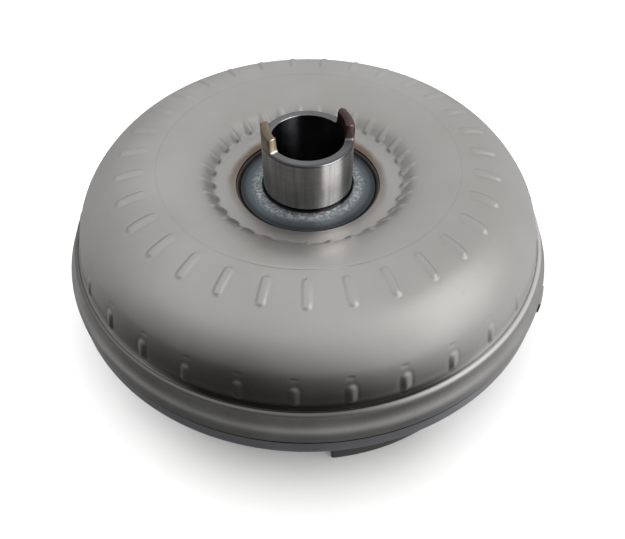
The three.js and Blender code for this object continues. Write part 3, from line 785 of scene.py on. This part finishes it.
def hub_top_outline():
    """The sleeve's top edge, unrolled to arc length and height, going round once, with its normals."""
    half = TANG_WIDTH / 2
    foot = half + TANG_LEAN
    tang = [(-foot, HUB_TOP), (-half, TANG_TOP), (half, TANG_TOP), (foot, HUB_TOP)]
    corners = [Vector(((middle + side) * HUB_DEGREE, top)) for middle in TANG_AZIMUTHS for side, top in tang]
    once_round = Vector((360 * HUB_DEGREE, 0))
    radii = [TANG_FOOT, TANG_EDGE, TANG_EDGE, TANG_FOOT] * len(TANG_AZIMUTHS)
    corners = [corners[-1] - once_round, *corners, corners[0] + once_round]
    result = []
    for i, radius in enumerate(radii):
        before, here, after = corners[i : i + 3]
        result += soft_corner(before, here, after, radius, 6)
        reach_on = after - result[-1]
        steps = max(2, round(reach_on.length / 1.2))
        stretch = reach_on.length - TANG_FOOT * 0.9
        result += [result[-1] + reach_on.normalized() * stretch * step / steps for step in range(1, steps)]
    line = np.array([(p.x, p.y) for p in result])
    looped = np.concatenate([line[-1:] - [once_round], line, line[:1] + [once_round]])
    tangent = unit(looped[2:] - looped[:-2])
    return line, np.stack([-tangent[:, 1], tangent[:, 0]], -1)


def add_hub():
    line, normal = hub_top_outline()
    on_tang = np.clip((line[:, 1] - HUB_TOP) / (TANG_TOP - HUB_TOP), 0, 1)
    inner, outer = 0.5 + 1.2 * on_tang, 1.3 + 0.7 * on_tang  # chamfers, wider on the tangs
    # From the bore up over the sleeve's top edge, then down to the flange and back to the bore.
    # The top edge's points lie below the outline by their second number.
    top = [(BORE_R, inner), (BORE_R + inner * 0.3, inner * 0.45), (BORE_R + inner, 0), (HUB_R - outer, 0),
           (HUB_R - outer * 0.35, outer * 0.35), (HUB_R, outer)]
    groove = [(HUB_R, 92.6), (HUB_R, 91.3), (HUB_R - 0.5, 90.7), (HUB_R - 0.8, 89.9), (HUB_R - 0.7, 89),
              (HUB_R - 0.2, 88.6), (HUB_R + 0.5, 89), (HUB_R + 1.1, 89.6)]
    flange = [(26.4, 89.8), (28.2, 89.5), (30, 88.9), (32, 88.5), (FLANGE_R - 0.7, FLANGE_TOP - 0.1),
              (FLANGE_R - 0.15, FLANGE_TOP - 0.4), (FLANGE_R, FLANGE_TOP - 1), (FLANGE_R, FLANGE_UNDER + 0.5),
              (FLANGE_R - 0.5, FLANGE_UNDER), (BORE_R + 0.6, FLANGE_UNDER), (BORE_R, FLANGE_UNDER + 0.6)]
    azimuth = line[:, 0] / HUB_DEGREE
    rows = [placed(azimuth, BORE_R, BORE_MIDDLE)]
    for r, depth in top:
        edge = line - normal * np.reshape(depth, (-1, 1))
        rows.append(placed(edge[:, 0] / HUB_DEGREE, r, edge[:, 1]))
    rows += [placed(azimuth, r, z) for r, z in groove + flange]
    faces = flipped(grid_faces(len(rows), len(line), True, True))
    return add_piece("impeller_hub", [(np.concatenate(rows), faces)], "drive_hub", 32)


def add_hub_weld():
    """A bead with ripples, sunk between the flange and the shell."""
    count = 480
    azimuth = np.arange(count) * 360 / count
    ripple = 0.16 * np.abs(np.sin(np.radians(azimuth) * 58)) + 0.07 * np.sin(np.radians(azimuth) * 13)
    inner, outer, under = FLANGE_R + 0.15, SHELL_HOLE_R - 0.15, 86.2
    rows = []
    for t in np.linspace(0, 1, 9):
        crown = math.sin(math.pi * t)
        rows.append((inner + (outer - inner) * t, 87.6 + t * 1.3 + crown * (0.55 + ripple)))
    rows += [(outer, under), (inner, under)]
    points, faces = ring_of(rows, azimuth)
    add_piece("hub_weld", [(points, flipped(faces))], "hub_weld_bead", 40)


# ---------------- cover and rim
def add_cover():
    bend_in = BEND_R - COVER_T
    under_lip = SKIRT_BOTTOM - 0.3
    cove = spline([(RIM_R, 53), (134.8, 54.8), (134, 56.5), (132.8, 58), (131.8, 59.7), (131.2, 61.7),
                   (130.9, 63.6), (130.3, 65.1), (129.3, LIP_TOP), (128.4, 65.9), (128, 65.2)], 0.4)
    outline = [
        (12.3, FACE_Z + 1.5), (45, FACE_Z + 1.5, 3), (50, FACE_Z, 3),
        *unrounded(arc(COVER_BEND, BEND_R, BEND_R, -90, 0, 13)), (123.2, 30, 6), (WALL_R, 38, 5),
        (WALL_R, SEAM, 0.2), (RIM_R, SEAM, 0.3), *unrounded(cove),
        (128, 64.4, 0.2), (SKIRT_R + 0.7, 63, 0.3), (SKIRT_R + 0.7, under_lip, 0.2),
        (WALL_R - COVER_T, under_lip, 0.2), (WALL_R - COVER_T, 39, 5), (119.4, 31, 6),
        *unrounded(arc(COVER_BEND, bend_in, bend_in, 0, -90, 13)),
        (50, FACE_Z + COVER_T, 3), (45, FACE_Z + COVER_T + 1.5, 3), (12.3, FACE_Z + COVER_T + 1.5),
    ]
    add_piece("front_cover", [turned_part(outline, 0.4)], "cover_shell", 40)
    band_in, band_out, band_top = WALL_R + 0.6, RIM_R - 0.4, RIM_RING_TOP - 0.8
    ring = [(band_in, RIM_BOTTOM, 0.4), (band_out, RIM_BOTTOM, 1.4), (band_out, band_top, 0.2),
            (band_in, band_top, 0.3)]
    add_piece("rim_ring", [turned_part(ring)], "rim_band", 40)
    bead = [(SKIRT_R + 0.1, 62.2, 0.2), (127.4, 62.8, 0.2), (128.1, 64.2, 0.3), (128.25, 65.6, 0.2),
            (127.7, 65.9, 0.2), (SKIRT_R + 0.1, 64.6, 0.3)]
    add_piece("closing_weld", [turned_part(bead)], "closing_bead", 40)
    foot = FACE_Z + 1.2
    pilot = [(0.01, PILOT_END + 3, 0), (4, PILOT_END, 0.4), (PILOT_R, PILOT_END, 1.6), (PILOT_R, foot, 0.3),
             (12, foot, 0.1), (12, PILOT_TOP, 0.4), (0.01, PILOT_TOP, 0)]
    add_piece("pilot_boss", [turned_part(pilot, sides=128)], "pilot", 40)


# ---------------- helpers for the smaller pieces
def washer(inner, outer, bottom, top, radius=0.2, sides=128):
    return turned_part([(inner, bottom), (outer, bottom), (outer, top), (inner, top)], radius, sides)


def ring_of(rows, azimuth):
    """A closed ring. Its rows go anticlockwise round the section: a radius and a height, each one
    number or one for every azimuth."""
    r, z = (np.array([np.broadcast_to(row[k], azimuth.shape) for row in rows], float) for k in (0, 1))
    return placed(azimuth, r, z).reshape(-1, 3), grid_faces(len(rows), len(azimuth), True, True)


def prism_ring(inner, outer, bottom, top, azimuth, edge=0.4):
    """A ring with chamfered edges whose radii may change with azimuth."""
    rows = [(inner, bottom + edge), (inner + edge, bottom), (outer - edge, bottom), (outer, bottom + edge),
            (outer, top - edge), (outer - edge, top), (inner + edge, top), (inner, top - edge)]
    return ring_of(rows, azimuth)


def sector(outline, middle, width, radius=0.3, edge=0.3):
    """Part of a turned outline, with softened ends."""
    loop = anticlockwise(np.array(rounded(outline, radius)))
    center = loop.mean(0)
    away = loop - center
    small = center + away * (1 - edge / np.linalg.norm(away, axis=1))[:, None]
    turn = math.degrees(edge / center[0])
    steps = max(2, round(width / 2))
    azimuths = [middle - width / 2, *np.linspace(-width / 2 + turn, width / 2 - turn, steps) + middle,
                middle + width / 2]
    columns = [small] + [loop] * steps + [small]
    points = [placed(azimuth, column[:, 0], column[:, 1]) for azimuth, column in zip(azimuths, columns)]
    shape = len(points), len(loop)
    faces = flipped(grid_faces(*shape, False, True) + row_caps(*shape))
    return np.concatenate(points), faces


def splined(root, tip, teeth):
    """Azimuths and radii of a bore with teeth."""
    parts = [(0, root), (0.12, root), (0.25, root), (0.38, root), (0.5, root), (0.55, tip), (0.65, tip),
             (0.75, tip), (0.85, tip), (0.95, tip)]
    azimuth = np.array([360 * (tooth + part) / teeth for tooth in range(teeth) for part, _ in parts])
    return azimuth, np.array([radius for _ in range(teeth) for _, radius in parts], float)


def spaced(curve, count):
    """A curve's points, evenly spaced along it."""
    s = run_length(curve)
    even = np.linspace(0, s[-1], count)
    return np.stack([np.interp(even, s, curve[:, 0]), np.interp(even, s, curve[:, 1])], -1)


def vane(outer, inner, thickness, lean, azimuth, count=26, across=6):
    """A bent sheet between two curves of the section, given thickness."""
    outer, inner = spaced(outer, count), spaced(inner, count)
    share = np.linspace(0, 1, across)[:, None, None]
    grid = outer * (1 - share) + inner * share
    r, z = grid[..., 0], grid[..., 1]
    middle = azimuth + lean(r, z)
    half = np.degrees(thickness / 2 / r)
    sides = []
    for sign, rows in ((1, slice(None)), (-1, slice(None, None, -1))):
        sides.append(placed(middle + sign * half, r, z)[rows])
    faces = grid_faces(2 * across, count, True, False) + column_caps(2 * across, count)
    return np.concatenate(sides).reshape(-1, 3), faces


def tube(path, radius, sides=10):
    """A round wire along a path, with closed ends."""
    along = unit(np.gradient(path, axis=0))
    side = unit(np.cross(along, [0, 0, 1.0]))
    up = np.cross(side, along)
    angle = np.linspace(0, 2 * math.pi, sides, endpoint=False)
    ring = np.cos(angle)[None, :, None] * side[:, None] + np.sin(angle)[None, :, None] * up[:, None]
    points = (path[:, None] + radius * ring).reshape(-1, 3)
    return points, grid_faces(len(path), sides, False, True) + row_caps(len(path), sides)


def flat_strip(path, thickness, bottom, top):
    """A strip that stands on edge along a path in the XY plane."""
    along = unit(np.gradient(path, axis=0))
    side = np.stack([-along[:, 1], along[:, 0]], -1) * thickness / 2
    count = len(path)
    rows = [(path + side, bottom), (path + side, top), (path - side, top), (path - side, bottom)]
    points = np.concatenate([np.column_stack([xy, np.full(count, z)]) for xy, z in rows])
    return points, grid_faces(4, count, True, False) + column_caps(4, count)


# ---------------- drive lugs and balance weight
def thread_cutter(x, y):
    """A solid with an M10 thread that opens into a chamfer at a lug's lower face."""
    pitch, deep, sides = 1.5, 0.62, 32
    heights = np.linspace(-0.6, 8, 69)
    turn = np.arange(sides) / sides
    wave = np.abs((heights[:, None] / pitch + turn[None, :]) % 1 * 2 - 1)
    r = THREAD_R - deep + deep * np.clip(wave * 1.3 - 0.1, 0, 1)
    mouth = THREAD_R + 0.5 - np.maximum(heights, 0)
    r = np.maximum(r, mouth[:, None])
    angle = 2 * math.pi * turn
    z = np.broadcast_to(heights[:, None], r.shape)
    points = np.stack([x + r * np.cos(angle), y + r * np.sin(angle), z], -1)
    faces = grid_faces(len(heights), sides, False, True) + row_caps(len(heights), sides)
    return points.reshape(-1, 3), faces


def plain_object(name, vertices, faces):
    """An object with no material, from a mesh in millimetres."""
    mesh = bpy.data.meshes.new(name)
    mesh.from_pydata(np.asarray(vertices) * MM, [], faces)
    return new_object(name, mesh)


def with_holes(solid, cutters):
    """Vertices in millimetres and faces of a solid after the cutters are taken from it."""
    body = plain_object("uncut", *solid)
    tools = [plain_object("cutter", *cutter) for cutter in cutters]
    for tool in tools:
        modifier = body.modifiers.new("hole", "BOOLEAN")
        modifier.operation, modifier.solver, modifier.object = "DIFFERENCE", "MANIFOLD", tool
    bpy.context.view_layer.update()
    graph = bpy.context.evaluated_depsgraph_get()
    mesh = bpy.data.meshes.new_from_object(body.evaluated_get(graph))
    vertices = [tuple(v.co / MM) for v in mesh.vertices]
    faces = [list(polygon.vertices) for polygon in mesh.polygons]
    for thing in (body, *tools):
        data = thing.data
        bpy.data.objects.remove(thing)
        bpy.data.meshes.remove(data)
    bpy.data.meshes.remove(mesh)
    return vertices, faces


def weld_along(edge_r, middle, width):
    """A rippled fillet under the cover's face, along the inner edge of a lug."""
    azimuth = np.linspace(-width / 2, width / 2, round(width * 6)) + middle
    ends = np.clip((width / 2 - np.abs(azimuth - middle)) / 1.5, 0.15, 1) ** 0.5
    size = ends * (2.3 + 0.22 * np.abs(np.sin(np.radians(azimuth) * 95)))
    root = edge_r + 0.2
    rows = [(root, FACE_Z + 0.3), (edge_r - size, FACE_Z + 0.3), (edge_r - size, FACE_Z - 0.05 * size),
            (edge_r - size * 0.62, FACE_Z - size * 0.5), (edge_r - size * 0.22, FACE_Z - size * 0.86),
            (root, FACE_Z - size)]
    points, _ = ring_of(rows, azimuth)
    shape = len(rows), len(azimuth)
    return points, grid_faces(*shape, True, False) + column_caps(*shape)


def add_lugs():
    inner, outer = LUG_RADII
    against_cover = arc(COVER_BEND, BEND_R + 0.4, BEND_R + 0.4, -37, -90, 8)
    outline = [(inner, 0, 0.8), (outer, 0, 0.8), *unrounded(against_cover), (inner, FACE_Z - 0.4, 0.3)]
    for index, azimuth in enumerate(LUG_AZIMUTHS):
        holes = [around(azimuth + side * HOLE_SPREAD, BOLT_CIRCLE_R) for side in (-1, 1)]
        block = sector(outline, azimuth, LUG_WIDTH, edge=0.7)
        lug = with_holes(block, [thread_cutter(x, y) for x, y in holes])
        bead = weld_along(inner, azimuth, LUG_WIDTH - 4)
        add_piece(f"drive_lug_{index + 1}", [lug, bead], sharp=30)
    plate = [(RIM_R + 0.3, 40.5), (RIM_R + 1.6, 40.5), (RIM_R + 1.6, 48), (RIM_R + 0.3, 48)]
    add_piece("balance_weight", [sector(plate, 70.3, 6, 0.35, 0.35)])


# ---------------- impeller and turbine
CORE_R = 83
CORE_SIZE = 13, 11  # half-axes of the core rings' section
BOWL_R = 84
IMPELLER_Z = 65.7
TURBINE_Z = 62.3
TURBINE_VANES = 29


def core_ring(z, direction):
    (wide, high), center = CORE_SIZE, (CORE_R, z)
    outer = arc(center, wide, high * direction, 0, 180)
    inner = arc(center, wide - 1.2, (high - 1.2) * direction, 180, 0)
    return lathe(np.concatenate([outer, inner]))


def impeller_lean(r, z):
    """Degrees that a vane leans at a radius and a height."""
    return 0.12 * (90 - r)


def turbine_lean(r, z):
    return 0.2 * (r - BOWL_R) - 0.004 * (r - BOWL_R) ** 2 - 0.1 * (z - 45)


def add_wheels():
    (wide, high), gap = CORE_SIZE, 0.3
    _, outside, normal, _ = shell_rows()
    under = (outside - (SHELL_T + 1.1) * normal)[::-1]
    under = np.array([p for p in under if 54 < p[0] < 122.2 and p[1] > 70])
    bowl = np.concatenate([[(122.4, IMPELLER_Z + gap), (122.4, 69)], under, [(54, SHELL_HOLE_TOP)]])
    eye = arc((CORE_R, IMPELLER_Z + gap), wide - 0.6, high - 0.6, 0, 120)
    vanes = [vane(bowl, eye, 1, impeller_lean, i * SECTOR) for i in range(VANES)]
    add_piece("impeller_vane_ring", [core_ring(IMPELLER_Z, 1), *vanes])

    center = BOWL_R, TURBINE_Z
    shell = [(30, 39.6), *arc(center, 37, 34.8, -139, 0, 40), *arc(center, 35.2, 33, 0, -139, 40), (30, 41.4)]
    add_piece("turbine_shell", [lathe(shell)])
    bowl = arc((BOWL_R, TURBINE_Z - gap), 33.6, 31.4, 0, -133)
    eye = arc((CORE_R, TURBINE_Z - gap), wide - 0.6, 0.6 - high, 0, 120)
    vanes = [vane(bowl, eye, 1, turbine_lean, i * 360 / TURBINE_VANES) for i in range(TURBINE_VANES)]
    add_piece("turbine_vane_ring", [core_ring(TURBINE_Z, -1), *vanes])

    azimuth, bore = splined(12.4, 11.2, 16)
    edge, under, top = 0.5, 15.4, 43.3
    rows = [(bore, under + edge), (bore + edge, under), (17.5 - edge, under), (17.5, under + edge),
            (17.5, 20), (15.6, 20), (15.6, 22.6), (17.5, 22.6), (17.5, 34.6), (17.9, 35.4), (18.7, 35.8),
            (46.5, 35.8), (47, 36.3), (47, 38.8), (46.5, 39.3), (28.6, 39.3), (28, 39.9), (28, top - edge),
            (28 - edge, top), (bore + edge, top), (bore, top - edge)]
    add_piece("turbine_hub", [ring_of(rows, azimuth)], sharp=30)


# ---------------- stator and its one-way clutch
STATOR_BLADES = 13
ROLLERS = 8
RACE_R = 27
ROLLER_R = 3.9
ROLLER_CENTER_R = 31.2


def stator_blade(azimuth):
    """An aerofoil that stands between the stator's hub and its rim."""
    t = np.linspace(0, 1, 15)
    half = 0.4 + 5 * np.sqrt(t) * (1 - t) ** 2
    swept, z = -9 * t * t, 54.5 + 20 * t
    loop = np.concatenate([np.stack([swept + half, z], -1), np.stack([swept - half, z], -1)[::-1]])
    cos, sin = math.cos(math.radians(azimuth)), math.sin(math.radians(azimuth))
    x, z = loop.T
    points = [np.stack([x * cos + r * sin, x * sin - r * cos, z], -1) for r in (44.6, 66.6)]
    faces = grid_faces(2, len(loop), False, True) + row_caps(2, len(loop))
    return np.concatenate(points), faces


def add_stator():
    hub = [(28.5, 50, 1), (45, 50, 2), (45, 76.8, 1), (40.9, 76.8, 0.3), (40.9, 76.2, 0.1), (42.3, 76.2, 0.2),
           (42.3, 74.7, 0.2), (40.9, 74.7, 0.1), (40.9, 52.5, 0.5), (28.5, 52.5, 0.5)]
    rim = [(66, 56), (68.3, 56), (68.3, 75), (66, 75)]
    blades = [stator_blade(i * 360 / STATOR_BLADES) for i in range(STATOR_BLADES)]
    add_piece("stator_wheel", [turned_part(hub), turned_part(rim, 0.9), *blades])

    pocket_azimuth = np.array([*np.linspace(-17, 17, 15), 17.3, 20, 22.5, 25, 27.7])
    ramp = [(-17, 34.9), (-8, 35.7), (0, 36.1), (8, 36.4), (17, 36.4), (17.3, 27.8), (27.7, 27.8)]
    pocket_radius = np.interp(pocket_azimuth, *np.transpose(ramp))
    azimuth = np.concatenate([pocket_azimuth + 45 * i for i in range(ROLLERS)])
    add_piece("stator_cam_ring", [prism_ring(np.tile(pocket_radius, ROLLERS), 40.5, 54.4, 72.8, azimuth)])
    azimuth, bore = splined(16.6, 15.2, 18)
    add_piece("stator_inner_race", [prism_ring(bore, RACE_R, 49.6, 77.2, azimuth, 0.5)], sharp=30)
    roller = [(0.01, 54.9, 0), (ROLLER_R, 54.9, 0.5), (ROLLER_R, 72.3, 0.5), (0.01, 72.3, 0)]
    fold = spline([(0.3, 0), (1.6, 5.2), (3, 1.1), (4.4, 5.2), (5.7, 0)], 0.3) + np.array([-3, -34.2])
    for pocket in range(ROLLERS):
        x, y = around(45 * pocket - 7, ROLLER_CENTER_R)
        vertices, faces = turned_part(roller, sides=40)
        add_piece(f"clutch_roller_{pocket + 1}", [(vertices + (x, y, 0), faces)])
        turn = math.radians(45 * pocket + 9.6)
        spin = np.array([[math.cos(turn), math.sin(turn)], [-math.sin(turn), math.cos(turn)]])
        add_piece(f"clutch_spring_{pocket + 1}", [flat_strip(fold @ spin, 0.5, 58.4, 68.8)])
    add_piece("clutch_end_plate_lower", [washer(28.6, 40, 52.8, 54.1)])
    add_piece("clutch_end_plate_upper", [washer(28.6, 40, 73.1, 74.4)])
    ring = [(37.5, 74.9), (41.8, 74.9), (41.8, 76), (37.5, 76)]
    add_piece("stator_snap_ring", [sector(ring, 180, 348)])


# ---------------- thrust bearings
NEEDLES = 24
NEEDLE_R = 1.15
NEEDLE_LENGTH = 7
NEEDLE_START_R = 22


def needle_cage(bottom):
    """A flat cage with its needles, which lie along radii."""
    plate = washer(20.8, 30.2, bottom + 0.5, bottom + 1.7)
    needle = [(0.01, 0, 0), (NEEDLE_R, 0, 0.25), (NEEDLE_R, NEEDLE_LENGTH, 0.25), (0.01, NEEDLE_LENGTH, 0)]
    vertices, faces = turned_part(needle, sides=14)
    needles = []
    for azimuth in np.arange(NEEDLES) * 360 / NEEDLES:
        x, y = around(azimuth, 1)
        frame_of_needle = np.array([(-y, x, 0), (0, 0, 1), (x, y, 0)])
        start = np.array([x, y, 0]) * NEEDLE_START_R + (0, 0, bottom + NEEDLE_R)
        needles.append((start + vertices @ frame_of_needle, flipped(faces)))
    return [plate, *needles]


def add_bearings():
    for name, cage, lower, upper in (("hub", 78.8, 77.6, 81.4), ("turbine", 45.4, 43.7, 48.4)):
        add_piece(f"{name}_bearing_upper_race", [washer(20, 31, upper, upper + 0.8)])
        add_piece(f"{name}_bearing_lower_race", [washer(20, 31, lower, lower + 0.8)])
        add_piece(f"{name}_bearing_cage", needle_cage(cage))


# ---------------- lock-up clutch and damper
def grooved_washer(inner, outer, bottom, top, grooves, depth, on_top):
    """A washer with radial oil grooves in one face."""
    azimuth = np.arange(grooves * 8) * 45 / grooves
    sunk = np.where(np.arange(len(azimuth)) % 8 < 2, depth, 0.0)
    low, high = (bottom, top - sunk) if on_top else (bottom + sunk, top)
    rows = [(inner, low + 0.1), (inner + 0.1, low), (outer - 0.1, low), (outer, low + 0.1),
            (outer, high - 0.1), (outer - 0.1, high), (inner + 0.1, high), (inner, high - 0.1)]
    return ring_of(rows, azimuth)


def damper_coil(middle):
    """A spring bent along the damper, turned from a round wire."""
    turns, span, coil_r, wire_r = 11, 64, 3.9, 1.1
    t = np.linspace(0, 1, turns * 24 + 1)
    angle = 2 * math.pi * turns * t
    azimuth = middle + span * (t - 0.5)
    return tube(placed(azimuth, 105.2 + coil_r * np.cos(angle), 25.1 + coil_r * np.sin(angle)), wire_r)


def add_clutch():
    quarters = np.arange(4) * 90
    disc = [(18.2, 14.8), (38, 14.8, 2), (42, 15.5, 2), (54, 15.5, 2), (58, 14.8, 2), (112.5, 14.8, 0.8),
            (112.5, 17.3, 0.8), (58, 17.3, 2), (54, 18, 2), (42, 18, 2), (38, 17.3, 2), (24, 17.3, 2.5),
            (21, 24.5, 0.6), (18.2, 24.5, 0.4)]
    tab = [(80.6, 16.8), (83.4, 16.8), (83.4, 21.5, 0.8), (80.6, 21.5, 0.8)]
    tabs = [sector(tab, a, 10, edge=0.6) for a in quarters]
    add_piece("lockup_piston", [turned_part(disc), *tabs])
    add_piece("lockup_lining", [grooved_washer(90, 108, 13, 14.5, 36, 0.4, False)], sharp=30)
    add_piece("piston_seal", [washer(15.9, 17.8, 20.2, 22.4, 0.4)])
    add_piece("cover_thrust_washer", [grooved_washer(12.6, 17, 12.9, 15.1, 12, 0.5, True)], sharp=30)

    azimuth = np.arange(720) / 2
    in_notch = np.abs((azimuth + 45) % 90 - 45) < 5.8
    inner = np.where(in_notch, 84.2, 79.0)
    rows = [(inner, 18), (inner + 0.3, 17.7), (110.6, 17.7), (112, 18), (112.7, 18.7), (112.8, 19.6),
            (112.8, 29.2), (112.5, 29.5), (111.5, 29.5), (111.2, 29.2), (111.2, 20.2), (110.9, 19.6),
            (110.2, 19.3), (inner + 0.3, 19.3), (inner, 19)]
    stop = [(107, 18.7), (112, 18.7), (112, 28.5), (107, 28.5)]
    stops = [sector(stop, a + 45, 20, 0.8, 0.8) for a in quarters]
    add_piece("damper_retainer", [ring_of(rows, azimuth), *stops])
    for index, middle in enumerate(quarters):
        add_piece(f"damper_spring_{index + 1}", [damper_coil(middle)])
    plate = [(98.5, 28), (107.5, 33), (107.5, 34.8), (98.5, 29.8)]
    tab = [(100.5, 21), (106.2, 21), (106.2, 33), (100.5, 30)]
    tabs = [sector(tab, a + 45, 5, 0.6, 0.6) for a in quarters]
    add_piece("damper_driven_plate", [turned_part(plate), *tabs])


# ---------------- put together
add_camera()
add_stage()
add_shell()
add_hub_window(add_hub())
add_hub_weld()
add_cover()
add_lugs()
add_wheels()
add_stator()
add_bearings()
add_clutch()

for node, cad_piece in frame["nodes"].items():
    cad_piece.data.materials.clear()
    cad_piece.data.materials.append(MATERIALS[SLOTS[node]])
